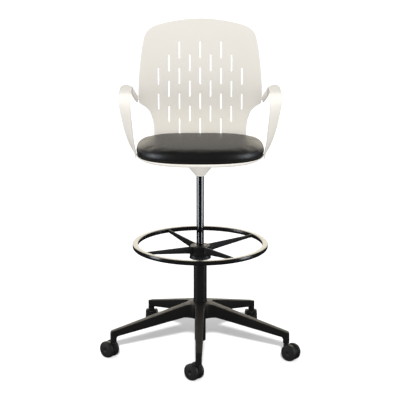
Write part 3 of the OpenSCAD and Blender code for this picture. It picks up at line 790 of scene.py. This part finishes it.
def build_cushion():
    """The padded cushion: a vinyl skin blown up over the CAD solid by cloth simulation."""
    cushion = bpy.data.objects.new("seat_cushion_cover", nodes["seat_cushion"].data.copy())
    bpy.context.scene.collection.objects.link(cushion)
    bpy.context.view_layer.objects.active = cushion
    low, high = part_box("seat_cushion")
    middle = (low + high) / 2
    for v in cushion.data.vertices:
        v.co = middle + (v.co - middle) * 0.996
    remesh = cushion.modifiers.new("even", "REMESH")
    remesh.mode = "VOXEL"
    remesh.voxel_size = 0.005
    apply_modifiers(cushion)
    puff_up(cushion)
    even = cushion.modifiers.new("even_out", "SMOOTH")
    even.factor = 0.5
    even.iterations = 14
    finer = cushion.modifiers.new("finer", "SUBSURF")
    finer.levels = finer.render_levels = 1
    apply_modifiers(cushion)
    # Back out to the CAD box, which smoothing has drawn it away from
    widest = max(abs(v.co.x) for v in cushion.data.vertices)
    front = min(v.co.y for v in cushion.data.vertices)
    rear = max(v.co.y for v in cushion.data.vertices)
    for v in cushion.data.vertices:
        v.co.x *= (high.x - SLACK) / widest
        v.co.y *= (low.y + SLACK) / front if v.co.y < 0 else (high.y - SLACK) / rear
    # The lower edge becomes a skirt that hides the board
    for v in cushion.data.vertices:
        if seat_height(v.co) < BOARD_TOP + 0.0022 and seat_reach(v.co) > 0.932:
            v.co.z -= SKIRT
    smooth(cushion)
    stand_in(cushion, "seat", "black_vinyl", "seat_cushion")


def seat_reach(p):
    """How far out a point lies on the seat: 1 on the seat's outline, 0 at its middle."""
    front = p.y < 0
    power = FRONT_POWER if front else REAR_POWER
    depth = SEAT_FRONT if front else SEAT_REAR
    return (abs(p.x / SEAT_HALF_W) ** power + abs(p.y / depth) ** power) ** (1 / power)


def seat_height(p):
    """Height of a point over the pan's underside, square to the seat."""
    return (p.z - PAN_Z) * math.cos(SEAT_TILT) + p.y * math.sin(SEAT_TILT)


def apply_modifiers(obj):
    """Turns the object's modifiers into its mesh."""
    bpy.context.view_layer.update()
    depsgraph = bpy.context.evaluated_depsgraph_get()
    made = bpy.data.meshes.new_from_object(obj.evaluated_get(depsgraph))
    obj.modifiers.clear()
    obj.data = made


# ---- Base ----

LEG_COUNT = 5
BASE_TURN = -0.95
STEM_CIRCLE_R = 0.340
TIP_R = 0.012
HUB_R = 0.035
HUB_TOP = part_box("star_base")[1].z
TIP_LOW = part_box("star_base")[0].z
HUB_LOW = 0.133
TIP_TOP = 0.106
COLUMN_R = 0.025
LEG_ROOF = 0.006
HALF_RIB = 0.0015


def leg_direction(i):
    """Angle of leg i seen from above, from +X."""
    return math.radians(-90 + BASE_TURN + i * 360 / LEG_COUNT)


def leg_top(r):
    """Height of the legs' top edge at distance r from the column."""
    corner = 0.011
    outer = STEM_CIRCLE_R + TIP_R
    z = np.interp(r, [COLUMN_R, 0.06, outer - corner], [HUB_TOP, HUB_TOP - 0.007, TIP_TOP + 0.001])
    if r > outer - corner:
        reach = min(1.0, (r - outer + corner) / corner)
        z -= corner * (1 - math.sqrt(max(0.0, 1 - reach * reach)))
    return float(z)


def leg_under(r):
    """Height of the legs' lower edge at distance r from the column."""
    return float(np.interp(r, [0.045, 0.07, 0.32, 0.36], [HUB_LOW, HUB_LOW + 0.003, 0.0865, 0.082]))


def star_outline():
    """The star from above, anticlockwise: a notch between legs, then a leg out, round its tip and back."""
    half_root, half_end = 0.0172, 0.0115
    root_r = 0.085
    root_round = 0.06
    corners = []
    for i in range(LEG_COUNT):
        a = leg_direction(i)
        along = np.array([math.cos(a), math.sin(a)])
        across = np.array([-along[1], along[0]])
        notch = leg_direction(i) - math.pi / LEG_COUNT
        corners.append((0.0365 * math.cos(notch), 0.0365 * math.sin(notch), 0.030))
        for r, w, round_off in ((root_r, -half_root, root_round), (STEM_CIRCLE_R, -half_end, 0.0)):
            p = along * r + across * w
            corners.append((p[0], p[1], round_off))
        for k in range(1, 12):
            b = -math.pi / 2 + math.pi * k / 12
            p = along * (STEM_CIRCLE_R + TIP_R * math.cos(b)) + across * TIP_R * 0.96 * math.sin(b)
            corners.append((p[0], p[1], 0.0))
        for r, w, round_off in ((STEM_CIRCLE_R, half_end, 0.0), (root_r, half_root, root_round)):
            p = along * r + across * w
            corners.append((p[0], p[1], round_off))
    return rounded_profile(corners, 8)


def build_base():
    """The star: a moulding with two channels under each leg, and a tip that takes the caster's stem."""
    outer = resampled(star_outline(), 0.004)
    bore_r = COLUMN_R + 0.0003
    bore = [np.array([bore_r * math.cos(a), bore_r * math.sin(a)])
            for a in (-2 * math.pi * k / 72 for k in range(72))]
    spacing = 0.0075
    edge_r = 0.0028
    star = moulding("star_moulding", [outer, bore], spacing, edge_r,
                    lambda x, y: leg_top(math.hypot(x, y)), lambda x, y: leg_under(math.hypot(x, y)),
                    lambda x, y, h: (x, y, h), 4)
    hollows = leg_hollows()
    cut = star.modifiers.new("hollows", "BOOLEAN")
    cut.operation = "DIFFERENCE"
    cut.solver = "EXACT"
    cut.object = hollows
    apply_modifiers(star)
    bpy.data.objects.remove(hollows)
    base = joined("star_moulding", [star] + [leg_tip(i) for i in range(LEG_COUNT)])
    stand_in(base, "base", "base_nylon", "star_base")


def leg_tip(i):
    """The post under a leg's end; its inner side leans into the leg near the top."""
    a = leg_direction(i)
    c, s = math.cos(a), math.sin(a)
    count = 40
    # Height, radius, and how far the inner side leans towards the column
    levels = [
        (TIP_LOW, 0.0108, 0), (TIP_LOW + 0.0004, 0.0116, 0), (TIP_LOW + 0.0015, TIP_R, 0),
        (0.070, TIP_R, 0), (0.076, TIP_R, 0.0004), (0.080, TIP_R, 0.0022), (0.083, TIP_R, 0.005),
        (0.0855, TIP_R - 0.0004, 0.0095), (0.088, TIP_R - 0.0015, 0.014),
    ]
    rings = []
    for z, r, lean in levels:
        ring = []
        for k in range(count):
            b = 2 * math.pi * k / count
            u, v = r * math.cos(b), r * 0.965 * math.sin(b)
            if u < 0:
                u -= lean
            d = STEM_CIRCLE_R + u
            ring.append((d * c - v * s, d * s + v * c, z))
        rings.append(ring)
    return capped(f"leg_tip_{i}", rings)


def leg_hollows():
    """The two channels under each leg, beside its middle rib, as one cutting solid."""
    hollow_from = HUB_R + 0.012
    hollow_to = STEM_CIRCLE_R - TIP_R - 0.006
    points, faces = [], []
    for i in range(LEG_COUNT):
        a = leg_direction(i)
        c, s = math.cos(a), math.sin(a)
        for side in (-1, 1):
            start = len(points)
            for r, w in ((hollow_from, 0.0148), (0.08, 0.0135), (hollow_to, 0.0072)):
                roof = leg_top(r) - LEG_ROOF
                for v, z in ((HALF_RIB, 0.0), (w, 0.0), (w, roof), (HALF_RIB, roof)):
                    points.append((r * c - side * v * s, r * s + side * v * c, z))
            for k in (start, start + 4):
                faces += [(k + j, k + (j + 1) % 4, k + 4 + (j + 1) % 4, k + 4 + j) for j in range(4)]
            faces.append(tuple(range(start + 3, start - 1, -1)))
            faces.append(tuple(range(start + 8, start + 12)))
    return mesh_object("hollows", points, faces)


def joined(name, objs):
    """One object from several meshes."""
    bm = bmesh.new()
    for o in objs:
        bm.from_mesh(o.data)
        bpy.data.objects.remove(o)
    mesh = bpy.data.meshes.new(name)
    bm.to_mesh(mesh)
    bm.free()
    obj = bpy.data.objects.new(name, mesh)
    bpy.context.scene.collection.objects.link(obj)
    smooth(obj)
    return obj


# ---- Foot ring ----

RING_R = 0.254
RING_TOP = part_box("foot_ring")[1].z
BAR_W = 0.0206
BAR_H = 0.0172
RING_HUB_R = 0.0372
RING_HUB_LOW = 0.376
RING_HUB_HIGH = 0.411
NUT_SEAT_R = 0.039
COLLET_R = 0.0294
COLLET_TOP = 0.4
RING_BORE_R = 0.0268
SPOKE_COUNT = 4
SPOKE_TURN = math.radians(32)
SPOKE_START = 0.031
SPOKE_END = RING_R - BAR_W + 0.004


def build_spoke(number):
    """A spoke from the hub to the rim: a tapered bar, flared at both ends, that gets shallower outwards."""
    a = SPOKE_TURN + 2 * math.pi / SPOKE_COUNT * number
    c, s = math.cos(a), math.sin(a)
    stations = 22
    rings = []
    for k in range(stations + 1):
        f = k / stations
        r = SPOKE_START + (SPOKE_END - SPOKE_START) * f
        top = np.interp(f, [0, 1], [RING_HUB_HIGH, RING_TOP - 0.0018])
        depth = np.interp(f, [0, 0.16, 0.9, 1], [0.029, 0.0245, 0.0112, 0.0112])
        at_hub = max(0.0, 1 - f / 0.13)
        at_rim = max(0.0, (f - 0.93) / 0.07)
        flare = 1 + 0.9 * at_hub ** 2 + 0.5 * at_rim ** 2
        half_top = 0.0030 * flare
        half_low = np.interp(f, [0, 1], [0.0066, 0.0048]) * flare
        outline = rounded_profile([
            (-half_top, 0, 0.0022), (-half_low, -depth, 0.002),
            (half_low, -depth, 0.002), (half_top, 0, 0.0022),
        ], 3)
        rings.append([(r * c - w * s, r * s + w * c, top + h) for w, h in outline])
    return capped(f"spoke_{number}", rings)


def build_foot_ring():
    """The rim, the hub with its seat for the nut, and the four spokes, as one moulding."""
    inner, outer = RING_R - BAR_W, RING_R
    low = RING_TOP - BAR_H
    section = rounded_profile([
        (inner, RING_TOP, 0.0036), (inner, low, 0.0055), (outer, low, 0.0055), (outer, RING_TOP, 0.0036),
    ], 6)
    rim = revolve("rim", section, 200)
    hub = revolve("ring_hub", rounded_profile([
        (COLLET_R, RING_HUB_LOW, 0.0005), (NUT_SEAT_R, RING_HUB_LOW, 0.001),
        (NUT_SEAT_R, RING_HUB_LOW + 0.009, 0.0012), (0.0378, RING_HUB_LOW + 0.0102, 0.0008),
        (RING_HUB_R, RING_HUB_HIGH, 0.003), (RING_BORE_R, RING_HUB_HIGH, 0.001),
        (RING_BORE_R, COLLET_TOP, 0.0005), (COLLET_R, COLLET_TOP, 0.0005),
    ], 4), 96)
    spokes = [build_spoke(number) for number in range(SPOKE_COUNT)]
    ring = joined("foot_ring_moulding", [rim, hub] + spokes)
    stand_in(ring, "ring", "ring_gloss", "foot_ring")


# ---- Casters ----

TRAIL = 0.022
WHEEL_R = 0.031
CASTER_HALF_W = 0.0245
WHEEL_INNER = 0.008
TURNS = dict(zip(CASTERS, (138, -38, 92, 88, 138)))


def caster_matrix(name):
    """The caster's own frame: the stem is its Z axis, and it trails along +X."""
    a = leg_direction(CASTERS.index(name))
    stem = Matrix.Translation((STEM_CIRCLE_R * math.cos(a), STEM_CIRCLE_R * math.sin(a), 0))
    return stem @ Matrix.Rotation(math.radians(TURNS[name]), 4, "Z")


def wheel_mesh():
    """A caster wheel about Z: its outer face is at z = 0, with a rolled rim and a slightly domed disc."""
    bore_r = 0.00405
    width = CASTER_HALF_W - WHEEL_INNER
    profile = rounded_profile([
        (bore_r, -width - 0.0015, 0), (0.009, -width - 0.0015, 0.0004), (0.0105, -width + 0.003, 0.0015),
        (0.0245, -width + 0.003, 0.0015), (0.0262, -width, 0.0006), (0.0296, -width, 0.0010),
        (WHEEL_R, -width + 0.0022, 0.0018), (WHEEL_R, -0.0062, 0.004), (0.0292, -0.0022, 0.003),
        (0.0262, -0.0012, 0.0008), (0.0254, -0.0021, 0.0005), (0.0246, -0.0014, 0.0006),
        (0.012, -0.0002, 0.012), (0.0001, 0.0, 0), (0.0001, -0.0022, 0), (bore_r, -0.0022, 0),
    ], 4)
    wheel = revolve("wheel", profile, 96)
    mesh = wheel.data
    bpy.data.objects.remove(wheel)
    return mesh


def build_wheels():
    """Both wheels of every caster, turned as the picture's casters are."""
    mesh = wheel_mesh()
    for name in CASTERS:
        for label, side in (("left", 1), ("right", -1)):
            node = f"{name}_caster_{label}_wheel"
            wheel = bpy.data.objects.new(f"{node}_moulding", mesh.copy())
            bpy.context.scene.collection.objects.link(wheel)
            turn = Matrix.Rotation(math.radians(-90 * side), 4, "X")
            place = Matrix.Translation((TRAIL, side * CASTER_HALF_W, WHEEL_R))
            wheel.data.transform(caster_matrix(name) @ place @ turn)
            stand_in(wheel, node, "wheel_nylon", node)


build_back()
build_arms()
build_pan()
build_cushion()
build_base()
build_foot_ring()
build_wheels()


# ---- Stage ----

COOL = (0.86, 0.92, 1.0)
WARM = (1.0, 0.925, 0.79)
CREAM = (1.0, 0.95, 0.86)
WHITE = (1.0, 1.0, 1.0)


def build_floor():
    """A plain pale floor, which the chair neither mirrors nor takes light from."""
    mesh = bpy.data.meshes.new("floor")
    half = 30
    corners = [(-half, -half, 0), (half, -half, 0), (half, half, 0), (-half, half, 0)]
    mesh.from_pydata(corners, [], [(0, 1, 2, 3)])
    floor = bpy.data.objects.new("floor", mesh)
    bpy.context.scene.collection.objects.link(floor)
    s = Shader("floor_paper", (0.84, 0.84, 0.84), 0.9, 0.1)
    s.mottle(s.noise(3, 3), (0.835, 0.835, 0.836), 0.5)
    floor.data.materials.append(s.material)
    floor.visible_glossy = False
    floor.visible_diffuse = False
    return floor


def build_world():
    """Even light from all round for diffuse surfaces, and nearly none in reflections."""
    world = bpy.data.worlds.new("studio")
    bpy.context.scene.world = world
    world.use_nodes = True
    tree = world.node_tree
    back = tree.nodes["Background"]
    back.inputs["Color"].default_value = (1, 1, 1, 1)
    way = tree.nodes.new("ShaderNodeTexCoord")
    parts = tree.nodes.new("ShaderNodeSeparateXYZ")
    tree.links.new(way.outputs["Generated"], parts.inputs["Vector"])
    sky = tree.nodes.new("ShaderNodeMapRange")
    sky.inputs["From Min"].default_value = -0.25
    sky.inputs["From Max"].default_value = 0.15
    sky.inputs["To Min"].default_value = 0.82
    sky.inputs["To Max"].default_value = 0.8
    tree.links.new(parts.outputs["Z"], sky.inputs["Value"])
    path = tree.nodes.new("ShaderNodeLightPath")
    level = tree.nodes.new("ShaderNodeMapRange")
    level.inputs["To Max"].default_value = 0.03
    tree.links.new(path.outputs["Is Glossy Ray"], level.inputs["Value"])
    tree.links.new(sky.outputs["Result"], level.inputs["To Min"])
    tree.links.new(level.outputs["Result"], back.inputs["Strength"])


def group(name, members):
    """A collection for light linking."""
    made = bpy.data.collections.new(name)
    for obj in members:
        made.objects.link(obj)
    return made


def lamp(name, light, lit, color, reflected):
    """Places a light that falls on the group lit only, either in reflections or as diffuse light."""
    light.color = color
    obj = bpy.data.objects.new(name, light)
    bpy.context.scene.collection.objects.link(obj)
    obj.visible_camera = False
    obj.visible_glossy = reflected
    obj.visible_diffuse = not reflected
    obj.light_linking.receiver_collection = lit
    return obj


def rectangle(name, size, power):
    """An area light of the given width and height."""
    light = bpy.data.lights.new(name, "AREA")
    light.shape = "RECTANGLE"
    light.size, light.size_y = size
    light.energy = power
    return light


def panel(name, place, size, power, color, lit):
    """A softbox that is seen in reflections, aimed at the chair's middle."""
    chair_middle = Vector((0, 0, 0.6))
    obj = lamp(name, rectangle(name, size, power), lit, color, True)
    obj.location = place
    obj.rotation_euler = (chair_middle - Vector(place)).to_track_quat("-Z", "Y").to_euler()


def sun(name, height_deg, side_deg, energy, spread_deg, lit):
    """A far light that gives diffuse light, height_deg above the horizon in front of the chair."""
    light = bpy.data.lights.new(name, "SUN")
    light.energy = energy
    light.angle = math.radians(spread_deg)
    obj = lamp(name, light, lit, WHITE, False)
    obj.rotation_euler = (math.radians(90 - height_deg), 0, math.radians(side_deg))
    return obj


def build_lights(floor):
    """Studio lights, each on the parts whose reflections or shading the picture shows it in."""
    chair = [o for o in bpy.context.scene.objects if o.type == "MESH" and o is not floor]
    back = bpy.data.objects["slotted_back"]
    vinyl = MATERIALS["black_vinyl"]
    bright = (MATERIALS["shell_white"], vinyl)
    shell = (nodes["back_shell"], back)
    everything = group("chair_parts", chair)
    dark_parts = group("dark_parts", [o for o in chair if o.data.materials[0] not in bright])
    cushion_parts = group("cushion_parts", [o for o in chair if o.data.materials[0] is vinyl])
    low_parts = group("low_parts", [o for o in chair if "caster" in o.name or "star" in o.name])
    tube_parts = group("tube_parts", [nodes["lift_tube"]])
    shell_parts = group("shell_parts", shell)
    all_but_shell = group("all_but_shell", [o for o in chair if o not in shell])
    floor_parts = group("floor_parts", [floor])

    side_size = (0.9, 2.6)
    strip_size = (0.45, 2.6)
    rear_size = (7.5, 3.0)
    rear_place = (0, 4.2, 2.0)
    panel("left_box", (-2.7, -0.55, 1.0), side_size, 60, COOL, everything)
    panel("right_box", (2.7, -0.55, 1.0), side_size, 55, COOL, everything)
    panel("left_strip", (-2.2, -1.72, 0.9), strip_size, 38, COOL, tube_parts)
    panel("right_strip", (2.2, -1.72, 0.9), strip_size, 45, COOL, tube_parts)
    panel("rear_box", rear_place, rear_size, 235, WARM, dark_parts)
    panel("cushion_box", rear_place, rear_size, 150, WARM, cushion_parts)
    sun("front_sun", 62, -4, 0.9, 14, all_but_shell)
    sun("front_fill", 15, 0, 0.75, 30, everything)

    # Light that comes up from the seat onto the lower back; it moves with the back
    neck_strip = lamp("neck_strip", rectangle("neck_strip", (0.36, 0.03), 0.06), shell_parts, CREAM, False)
    neck_strip.location = (0, 0.12, 0.855)
    neck_strip.rotation_euler = (math.radians(62), 0, 0)
    neck_strip.parent = back

    # The low legs and casters alone throw the soft shadow on the floor
    floor_sun = sun("floor_sun", 31, 0, 4.6, 4, floor_parts)
    floor_sun.light_linking.blocker_collection = low_parts


def build_camera():
    """The picture's camera, recovered from the foot ring's ellipse and the casters."""
    camera = bpy.data.cameras.new("camera")
    camera.sensor_width = 36
    camera.lens = 131.72
    camera.shift_x = -0.0005
    obj = bpy.data.objects.new("camera", camera)
    bpy.context.scene.collection.objects.link(obj)
    obj.location = (0, -5.3, 1.899)
    obj.rotation_euler = (math.radians(76.08), 0, 0)
    bpy.context.scene.camera = obj


studio_floor = build_floor()
build_world()
build_lights(studio_floor)
build_camera()
bpy.context.scene.view_settings.view_transform = "Standard"
